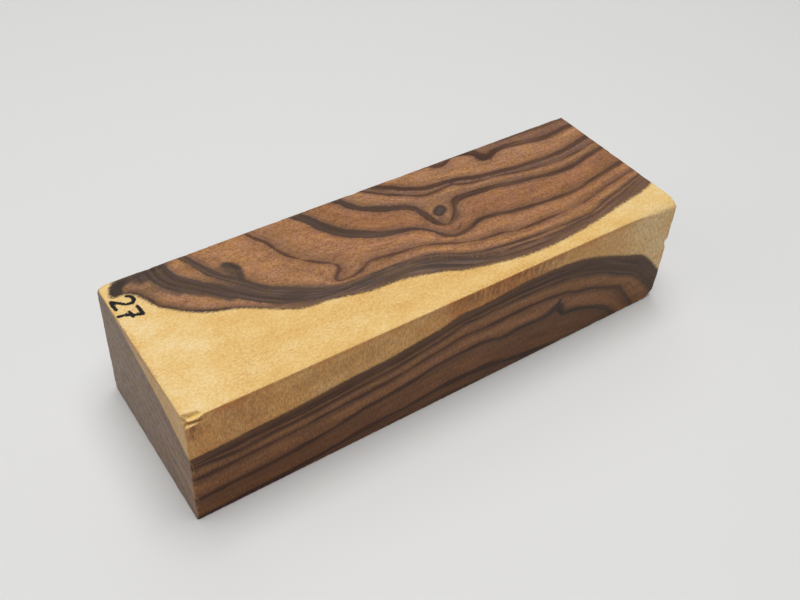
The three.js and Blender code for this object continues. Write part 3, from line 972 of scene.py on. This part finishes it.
# What the mesh tells the material at each vertex
READINGS = ("age", "rate", "line_width", "line_dark", "line_red", "band", "eye", "ink", "gloom", "end_grain",
            "stain", "fleck_and_shade", "arris", "torn", "unsanded_and_shade", "sawn", "grey", "pale")

# In a Mix node of colours, input 0 is the share, 6 and 7 are the two colours, and output 2 is the result.


def age_nodes(tree, n):
    """The age that the eye sees, ragged as the fibres are, and how dark the nearest ring's line is there."""
    wobble = add(tree, "ShaderNodeTexNoise", {"Vector": n["fibres"], **RAGGED_NOISE})
    signed = add(tree, "ShaderNodeMapRange", {"Value": wobble, **RAGGED_MM})
    carried = add(tree, "ShaderNodeMath", {0: signed, 1: n["rate"]}, operation="MULTIPLY")
    n["ragged_age"] = add(tree, "ShaderNodeMath", {0: n["age"], 1: carried}, operation="ADD")
    ring = add(tree, "ShaderNodeMath", {0: n["ragged_age"]}, operation="ROUND")
    off = add(tree, "ShaderNodeMath", {0: n["ragged_age"], 1: ring}, operation="SUBTRACT")
    n["apart"] = add(tree, "ShaderNodeMath", {0: off, 1: n["rate"]}, operation="DIVIDE")
    distance = add(tree, "ShaderNodeMath", {0: n["apart"]}, operation="ABSOLUTE")
    slow = add(tree, "ShaderNodeVectorMath", {0: n["mm"], 1: SWELL_STRETCH}, operation="MULTIPLY")
    swelling = add(tree, "ShaderNodeTexNoise", {"Vector": slow, **SWELL_NOISE})
    swelling = add(tree, "ShaderNodeMapRange", {"Value": swelling, **SWELL_MM})
    edge = add(tree, "ShaderNodeMath", {0: distance, 1: n["line_width"]}, operation="SUBTRACT")
    edge = add(tree, "ShaderNodeMath", {0: edge, 1: swelling}, operation="ADD")
    core = add(tree, "ShaderNodeMapRange", {"Value": edge, **LINE_CORE}, interpolation_type="SMOOTHSTEP")
    skirt = add(tree, "ShaderNodeMapRange", {"Value": edge, **LINE_SKIRT}, interpolation_type="SMOOTHSTEP")
    shaded = add(tree, "ShaderNodeMath", {0: core, 1: skirt}, operation="MAXIMUM")
    n["line"] = add(tree, "ShaderNodeMath", {0: shaded, 1: n["line_dark"]}, operation="MULTIPLY")


def streak_nodes(tree, n):
    """Fine and broad streaks that follow the rings, and a speckle that follows the fibres."""
    along = add(tree, "ShaderNodeSeparateXYZ", {0: n["long_fibres"]}).outputs["X"]
    for name, (per_ring, shift, reach) in STREAKS.items():
        scaled = add(tree, "ShaderNodeMath", {0: n["ragged_age"], 1: per_ring}, operation="MULTIPLY")
        spot = add(tree, "ShaderNodeCombineXYZ", {0: scaled, 1: along, 2: shift})
        streak = add(tree, "ShaderNodeTexNoise", {"Vector": spot, **STREAK_NOISE})
        n[name] = add(tree, "ShaderNodeMapRange", {"Value": streak, 1: 0.25, 2: 0.75, 3: -reach, 4: reach})
    upright = add(tree, "ShaderNodeVectorMath", {0: n["mm"], 1: SAWN_STRETCH}, operation="MULTIPLY")
    sanded = add(tree, "ShaderNodeTexNoise", {"Vector": n["specks"], **SANDED_NOISE})
    torn_up = add(tree, "ShaderNodeTexNoise", {"Vector": upright, **SAWN_NOISE})
    n["speckle"] = add(tree, "ShaderNodeMix", {0: n["sawn"], 2: sanded, 3: torn_up})


def heartwood_nodes(tree, n):
    """Brown between the rings, duller just inside each line, near black on the lines and the outer band."""
    aged = add(tree, "ShaderNodeMath", {0: n["ragged_age"], 1: LAST_AGE}, operation="DIVIDE")
    stops = [(age / LAST_AGE, colour) for age, colour in HEART_BY_AGE]
    brown = add(tree, "ShaderNodeValToRGB", {0: aged}, stops=stops)
    grain = add(tree, "ShaderNodeMapRange", {"Value": n["speckle"], **HEART_LIGHT})
    mottle = add(tree, "ShaderNodeTexNoise", {"Vector": n["fibres"], **HEART_NOISE})
    mottle = add(tree, "ShaderNodeMapRange", {"Value": mottle, **HEART_MOTTLE})
    streaked = add(tree, "ShaderNodeMath", {0: n["fine"], 1: n["broad"]}, operation="ADD")
    streaked = add(tree, "ShaderNodeMath", {0: streaked, 1: mottle}, operation="ADD")
    light = add(tree, "ShaderNodeMath", {0: grain, 1: streaked}, operation="ADD")
    brown = add(tree, "ShaderNodeVectorMath", {0: brown, "Scale": light}, operation="SCALE")
    raised = add(tree, "ShaderNodeMapRange", {"Value": n["speckle"], **SPECK_CAST})
    cast = {0: raised, 6: srgb(DARK_SPECK_CAST), 7: srgb(LIGHT_SPECK_CAST)}
    cast = add(tree, "ShaderNodeMix", cast, data_type="RGBA").outputs[2]
    cast = {0: 1.0, 6: brown, 7: cast}
    brown = add(tree, "ShaderNodeMix", cast, data_type="RGBA", blend_type="MULTIPLY").outputs[2]

    # The bloom: a duller brown that fades away from each line on its inner side
    apart = n["apart"]
    fading = add(tree, "ShaderNodeMapRange", {"Value": apart, **BLOOM_MM}, interpolation_type="SMOOTHSTEP")
    inner = add(tree, "ShaderNodeMapRange", {"Value": apart, **BLOOM_START})
    bloom = add(tree, "ShaderNodeMath", {0: fading, 1: inner}, operation="MULTIPLY")
    dull = add(tree, "ShaderNodeMapRange", {"Value": n["line_red"], **BLOOM_STRENGTH})
    bloom = add(tree, "ShaderNodeMath", {0: bloom, 1: dull}, operation="MULTIPLY")
    bloomed = {0: bloom, 6: brown, 7: srgb(LINE_BLOOM)}
    brown = add(tree, "ShaderNodeMix", bloomed, data_type="RGBA").outputs[2]

    # Where the wood is dark, and where painted shadow lies along the front's bottom edge
    inside = add(tree, "ShaderNodeMath", {0: n["ragged_age"], 1: n["rate"]}, operation="DIVIDE")
    deepening = add(tree, "ShaderNodeMapRange", {"Value": inside, **BAND_DEEPENING})
    band = add(tree, "ShaderNodeMath", {0: deepening, 1: n["band"]}, operation="MULTIPLY")
    gloom = add(tree, "ShaderNodeMath", {0: n["gloom"], 1: n["fine"]}, operation="ADD")
    gloom = add(tree, "ShaderNodeMapRange", {"Value": gloom, **GLOOM_EDGE}, interpolation_type="SMOOTHSTEP")
    wide = add(tree, "ShaderNodeMath", {0: band, 1: gloom}, operation="MAXIMUM")
    drawn = add(tree, "ShaderNodeMath", {0: wide, 1: n["line"]}, operation="MAXIMUM")

    # How it looks there
    depth = add(tree, "ShaderNodeMath", {0: n["layers"], 1: n["fine"]}, operation="ADD")
    depth = add(tree, "ShaderNodeMath", {0: depth, 1: MIDDLE_STREAK}, operation="ADD")
    surely_dark = add(tree, "ShaderNodeMath", {0: n["line"], 1: gloom}, operation="MAXIMUM")
    line_depth = add(tree, "ShaderNodeMapRange", {"Value": surely_dark, **LINE_DEEPENING})
    depth = add(tree, "ShaderNodeMath", {0: depth, 1: line_depth}, operation="ADD")
    dark_brown = add(tree, "ShaderNodeValToRGB", {0: depth}, stops=DARK_BROWN)
    dark_grey = add(tree, "ShaderNodeValToRGB", {0: depth}, stops=DARK_GREY)
    greyed = {0: n["grey"], 6: dark_brown, 7: dark_grey}
    dark = add(tree, "ShaderNodeMix", greyed, data_type="RGBA").outputs[2]
    thin = add(tree, "ShaderNodeMath", {0: n["line_red"], 1: wide}, operation="SUBTRACT", use_clamp=True)
    reddened = {0: thin, 6: dark, 7: srgb(THIN_LINE)}
    dark = add(tree, "ShaderNodeMix", reddened, data_type="RGBA").outputs[2]
    lined = add(tree, "ShaderNodeMix", {0: drawn, 6: brown, 7: dark}, data_type="RGBA").outputs[2]
    tinted = {0: 1.0, 6: lined, 7: n["tints"]}
    lined = add(tree, "ShaderNodeMix", tinted, data_type="RGBA", blend_type="MULTIPLY").outputs[2]
    # Painted shade and the sawn surface's own dullness: the unsanded faces are multiplied darker, most near
    # the floor.
    shaded = {0: n["unsanded_and_shade"], 6: lined, 7: srgb(UNSANDED_TONE_AND_SHADE)}
    lined = add(tree, "ShaderNodeMix", shaded, data_type="RGBA", blend_type="MULTIPLY").outputs[2]

    # The eye of the knot
    frayed = add(tree, "ShaderNodeMath", {0: n["fine"], 1: n["eye"]}, operation="ADD")
    eye = add(tree, "ShaderNodeMapRange", {"Value": frayed, **EYE_EDGE}, interpolation_type="SMOOTHSTEP")
    rim = add(tree, "ShaderNodeMapRange", {"Value": frayed, **EYE_RIM_EDGE}, interpolation_type="SMOOTHSTEP")
    rimmed = {0: rim, 6: srgb(EYE_COLOUR), 7: srgb(EYE_RIM)}
    eyed = add(tree, "ShaderNodeMix", rimmed, data_type="RGBA").outputs[2]
    n["heart"] = add(tree, "ShaderNodeMix", {0: eye, 6: lined, 7: eyed}, data_type="RGBA").outputs[2]


def sapwood_nodes(tree, n):
    """Pale yellow, softly mottled, browner and flecked where the front face has weathered, and brown with
    painted shade under the torn corner.
    """
    mottle = add(tree, "ShaderNodeTexNoise", {"Vector": n["specks"], **SAP_NOISE})
    spread = add(tree, "ShaderNodeMapRange", {"Value": mottle, **SAP_MOTTLE})
    drift = add(tree, "ShaderNodeTexNoise", {"Vector": n["specks"], **DRIFT_NOISE})
    drift = add(tree, "ShaderNodeMapRange", {"Value": drift, **SAP_DRIFT})
    tone = add(tree, "ShaderNodeMath", {0: spread, 1: drift}, operation="ADD")
    lift = add(tree, "ShaderNodeMath", {0: n["pale"], 1: PALE_LIFT}, operation="MULTIPLY")
    tone = add(tree, "ShaderNodeMath", {0: tone, 1: lift}, operation="ADD")
    sap = add(tree, "ShaderNodeValToRGB", {0: tone}, stops=SAP_STOPS)
    patch = add(tree, "ShaderNodeTexNoise", {"Vector": n["mm"], **STAIN_NOISE})
    uneven = add(tree, "ShaderNodeMapRange", {"Value": patch, **STAIN_PATCHES})
    stained = add(tree, "ShaderNodeMath", {0: uneven, 1: n["stain"]}, operation="MULTIPLY", use_clamp=True)
    stain = {0: stained, 6: sap, 7: srgb(SAP_STAIN)}
    sap = add(tree, "ShaderNodeMix", stain, data_type="RGBA").outputs[2]

    # Flecks: small specks on the sanded top, upright dashes on the sawn front, which also draw the painted
    # shade under the torn corner
    across = add(tree, "ShaderNodeVectorMath", {0: n["mm"], 1: DASH_STRETCH}, operation="MULTIPLY")
    dashes = add(tree, "ShaderNodeTexNoise", {"Vector": across, **DASH_NOISE})
    dashed = add(tree, "ShaderNodeMapRange", {"Value": dashes, **DASH_EDGE})
    specked = add(tree, "ShaderNodeMapRange", {"Value": n["speckle"], **SPECK_EDGE})
    flecked = add(tree, "ShaderNodeMix", {0: n["sawn"], 2: specked, 3: dashed})
    flecked = add(tree, "ShaderNodeMath", {0: flecked, 1: n["fleck_and_shade"]}, operation="MULTIPLY")
    kinds = {0: n["sawn"], 6: srgb(SAP_SPECK), 7: srgb(SAP_DASH)}
    fleck_and_shade = add(tree, "ShaderNodeMix", kinds, data_type="RGBA").outputs[2]
    sap = add(tree, "ShaderNodeMix", {0: flecked, 6: sap, 7: fleck_and_shade}, data_type="RGBA").outputs[2]

    # The front's rough grain
    browner = add(tree, "ShaderNodeMapRange", {"Value": n["speckle"], **SAP_SHADING})
    browner = add(tree, "ShaderNodeMath", {0: browner, 1: n["sawn"]}, operation="MULTIPLY")
    shade = {0: browner, 6: sap, 7: srgb(SAP_SHADE)}
    sap = add(tree, "ShaderNodeMix", shade, data_type="RGBA").outputs[2]
    grain = add(tree, "ShaderNodeMapRange", {"Value": n["speckle"], **SAWN_LIGHT})
    grain = add(tree, "ShaderNodeMath", {0: grain, 1: n["sawn"]}, operation="MULTIPLY")
    grain = add(tree, "ShaderNodeMath", {0: grain, 1: 1.0}, operation="ADD")
    n["sap"] = add(tree, "ShaderNodeVectorMath", {0: sap, "Scale": grain}, operation="SCALE")


def surface_nodes(tree, n):
    """Heartwood and sapwood together, dulled on the ends by dust and painted sheen, with pores, worn arrises,
    torn fibres and ink.
    """
    inside = add(tree, "ShaderNodeMath", {0: n["ragged_age"], 1: n["rate"]}, operation="DIVIDE")
    ragged = add(tree, "ShaderNodeMapRange", {"Value": n["speckle"], **SAP_EDGE_MM})
    inside = add(tree, "ShaderNodeMath", {0: inside, 1: ragged}, operation="ADD")
    heart = add(tree, "ShaderNodeMapRange", {"Value": inside, **HEART_START}, interpolation_type="SMOOTHSTEP")
    wood = add(tree, "ShaderNodeMix", {0: heart, 6: n["sap"], 7: n["heart"]}, data_type="RGBA").outputs[2]
    ends = {0: heart, 6: srgb(END_SAP), 7: srgb(END_HEART)}
    ends = add(tree, "ShaderNodeMix", ends, data_type="RGBA").outputs[2]
    tinted = {0: 1.0, 6: ends, 7: n["tints"]}
    ends = add(tree, "ShaderNodeMix", tinted, data_type="RGBA", blend_type="MULTIPLY").outputs[2]
    mottle = add(tree, "ShaderNodeTexNoise", {"Vector": n["mm"], **END_NOISE})
    uneven = add(tree, "ShaderNodeMapRange", {"Value": mottle, **END_PATCHES})
    dull = add(tree, "ShaderNodeMath", {0: uneven, 1: n["end_grain"]}, operation="MULTIPLY")
    wood = add(tree, "ShaderNodeMix", {0: dull, 6: wood, 7: ends}, data_type="RGBA").outputs[2]

    cells = add(tree, "ShaderNodeVectorMath", {0: n["mm"], 1: PORES_PER_MM}, operation="MULTIPLY")
    pores = add(tree, "ShaderNodeTexVoronoi", {"Vector": cells, "Scale": 1.0}).outputs
    hole = {"Value": pores["Distance"], **PORE_EDGE}
    hole = add(tree, "ShaderNodeMapRange", hole, interpolation_type="SMOOTHSTEP")
    some = add(tree, "ShaderNodeMapRange", {"Value": pores["Color"], **PORE_CHOICE})
    n["pore"] = add(tree, "ShaderNodeMath", {0: hole, 1: some}, operation="MULTIPLY")
    shade = add(tree, "ShaderNodeMath", {0: n["pore"], 1: PORE_STRENGTH}, operation="MULTIPLY")
    pored = {0: shade, 6: wood, 7: srgb(PORE_COLOUR)}
    wood = add(tree, "ShaderNodeMix", pored, data_type="RGBA").outputs[2]

    bruise = add(tree, "ShaderNodeMapRange", {"Value": n["speckle"], **WORN_EDGE})
    worn = add(tree, "ShaderNodeMath", {0: bruise, 1: n["arris"]}, operation="MULTIPLY")
    worn = add(tree, "ShaderNodeMath", {0: worn, 1: WORN_STRENGTH}, operation="MULTIPLY")
    wood = add(tree, "ShaderNodeMix", {0: worn, 6: wood, 7: srgb(WORN_ARRIS)}, data_type="RGBA").outputs[2]
    fresh = add(tree, "ShaderNodeMapRange", {"Value": n["torn"], **FRESH_TEAR})
    crumbled = add(tree, "ShaderNodeMapRange", {"Value": n["speckle"], **TEAR_CRUMBS})
    fresh = add(tree, "ShaderNodeMath", {0: fresh, 1: crumbled}, operation="ADD", use_clamp=True)
    wood = add(tree, "ShaderNodeMix", {0: fresh, 6: wood, 7: srgb(TORN_WOOD)}, data_type="RGBA").outputs[2]

    bleed = add(tree, "ShaderNodeMapRange", {"Value": n["speckle"], **INK_BLEED_MM})
    edge = add(tree, "ShaderNodeMath", {0: n["ink"], 1: bleed}, operation="ADD")
    inked = add(tree, "ShaderNodeMapRange", {"Value": edge, **INK_EDGE}, interpolation_type="SMOOTHSTEP")
    n["colour"] = add(tree, "ShaderNodeMix", {0: inked, 6: wood, 7: srgb(INK)}, data_type="RGBA").outputs[2]


def relief_nodes(tree, n):
    """Pores, lifted fibres and the fine arcs that the saw left, as a height, and how rough the wood is."""
    sunk = add(tree, "ShaderNodeMath", {0: n["pore"], 1: PORE_SINK}, operation="MULTIPLY")
    fuzz = add(tree, "ShaderNodeMath", {0: n["speckle"], 1: FIBRE_RISE}, operation="MULTIPLY")
    height = add(tree, "ShaderNodeMath", {0: sunk, 1: fuzz}, operation="ADD")
    slant = add(tree, "ShaderNodeVectorMath", {0: n["mm"], 1: SCRATCH_STRETCH}, operation="MULTIPLY")
    scratches = add(tree, "ShaderNodeTexNoise", {"Vector": slant, **SCRATCH_NOISE})
    height = add(tree, "ShaderNodeMath", {0: height, 1: scratches}, operation="ADD")
    n["bump"] = add(tree, "ShaderNodeBump", {"Height": height, "Strength": 1.0, "Distance": RELIEF_MM * MM})
    matt = add(tree, "ShaderNodeMapRange", {"Value": n["speckle"], **ROUGHNESS})
    rougher = add(tree, "ShaderNodeMath", {0: n["end_grain"], 1: END_ROUGHNESS}, operation="MULTIPLY")
    n["roughness"] = add(tree, "ShaderNodeMath", {0: matt, 1: rougher}, operation="ADD")


def ironwood():
    """The wood's material. n holds what its parts hand on to one another, by name."""
    material = bpy.data.materials.new("desert_ironwood_sawn_and_sanded")
    material.use_nodes = True
    tree = material.node_tree
    tree.nodes.clear()
    n = {name: add(tree, "ShaderNodeAttribute", attribute_name=name).outputs["Fac"] for name in READINGS}
    place = add(tree, "ShaderNodeTexCoord").outputs["Object"]
    n["mm"] = add(tree, "ShaderNodeVectorMath", {0: place, "Scale": 1 / MM}, operation="SCALE")
    stretches = {"fibres": FIBRE_STRETCH, "long_fibres": LONG_STRETCH, "specks": SPECK_STRETCH}
    for name, stretch in stretches.items():
        n[name] = add(tree, "ShaderNodeVectorMath", {0: n["mm"], 1: stretch}, operation="MULTIPLY")
    hue = add(tree, "ShaderNodeTexNoise", {"Vector": n["specks"], **CAST_NOISE})
    tint = add(tree, "ShaderNodeMapRange", {"Value": hue, **PATCH_CAST})
    casts = {0: tint, 6: srgb(GOLDEN_CAST), 7: srgb(PURPLE_CAST)}
    n["tints"] = add(tree, "ShaderNodeMix", casts, data_type="RGBA").outputs[2]
    age_nodes(tree, n)
    streak_nodes(tree, n)
    heartwood_nodes(tree, n)
    sapwood_nodes(tree, n)
    surface_nodes(tree, n)
    relief_nodes(tree, n)
    shader = add(tree, "ShaderNodeBsdfPrincipled", {
        "Base Color": n["colour"], "Roughness": n["roughness"], "Normal": n["bump"], "IOR": WOOD_IOR,
        "Specular IOR Level": WOOD_SPECULAR,
    })
    add(tree, "ShaderNodeOutputMaterial", {"Surface": shader})
    return material


# The block

def make_block():
    """The blank, worked by hand rules, kept in the CAD solid's box and given its readings."""
    low, high = (np.array(corner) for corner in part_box(NODE))
    block = bake_blank("ironwood_block_wood", tuple(high - low), ironwood())
    mesh = block.data
    count = len(mesh.vertices)
    p = np.empty(count * 3)
    mesh.vertices.foreach_get("co", p)
    centre = (low + high) / 2
    p = (p.reshape(-1, 3) + centre) / MM + BLOCK_ORIGIN
    edges = np.empty(len(mesh.edges) * 2, int)
    mesh.edges.foreach_get("vertices", edges)
    edges = edges.reshape(-1, 2)

    lean_ends(p)
    wear_wane(p)
    wear_corner(p, BOTTOM_RIGHT, BOTTOM_RIGHT_LEGS)
    wear_corner(p, BACK_LEFT, BACK_LEFT_LEGS)
    torn = tear_corner(p)
    chip_flake(p)
    p = np.clip(p, low / MM + BLOCK_ORIGIN, high / MM + BLOCK_ORIGIN)
    mesh.vertices.foreach_set("co", ((p - BLOCK_ORIGIN) * MM).ravel())
    mesh.update()

    normals = np.empty(count * 3)
    mesh.vertices.foreach_get("normal", normals)
    readings = figure_of(p, normals.reshape(-1, 3), edges, torn)
    for name in READINGS:
        attribute = mesh.attributes.new(name, "FLOAT", "POINT")
        attribute.data.foreach_set("value", readings[name].astype(np.float32))
    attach(block, "root")
    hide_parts(NODE)


make_camera()
make_floor()
make_lights()
make_block()
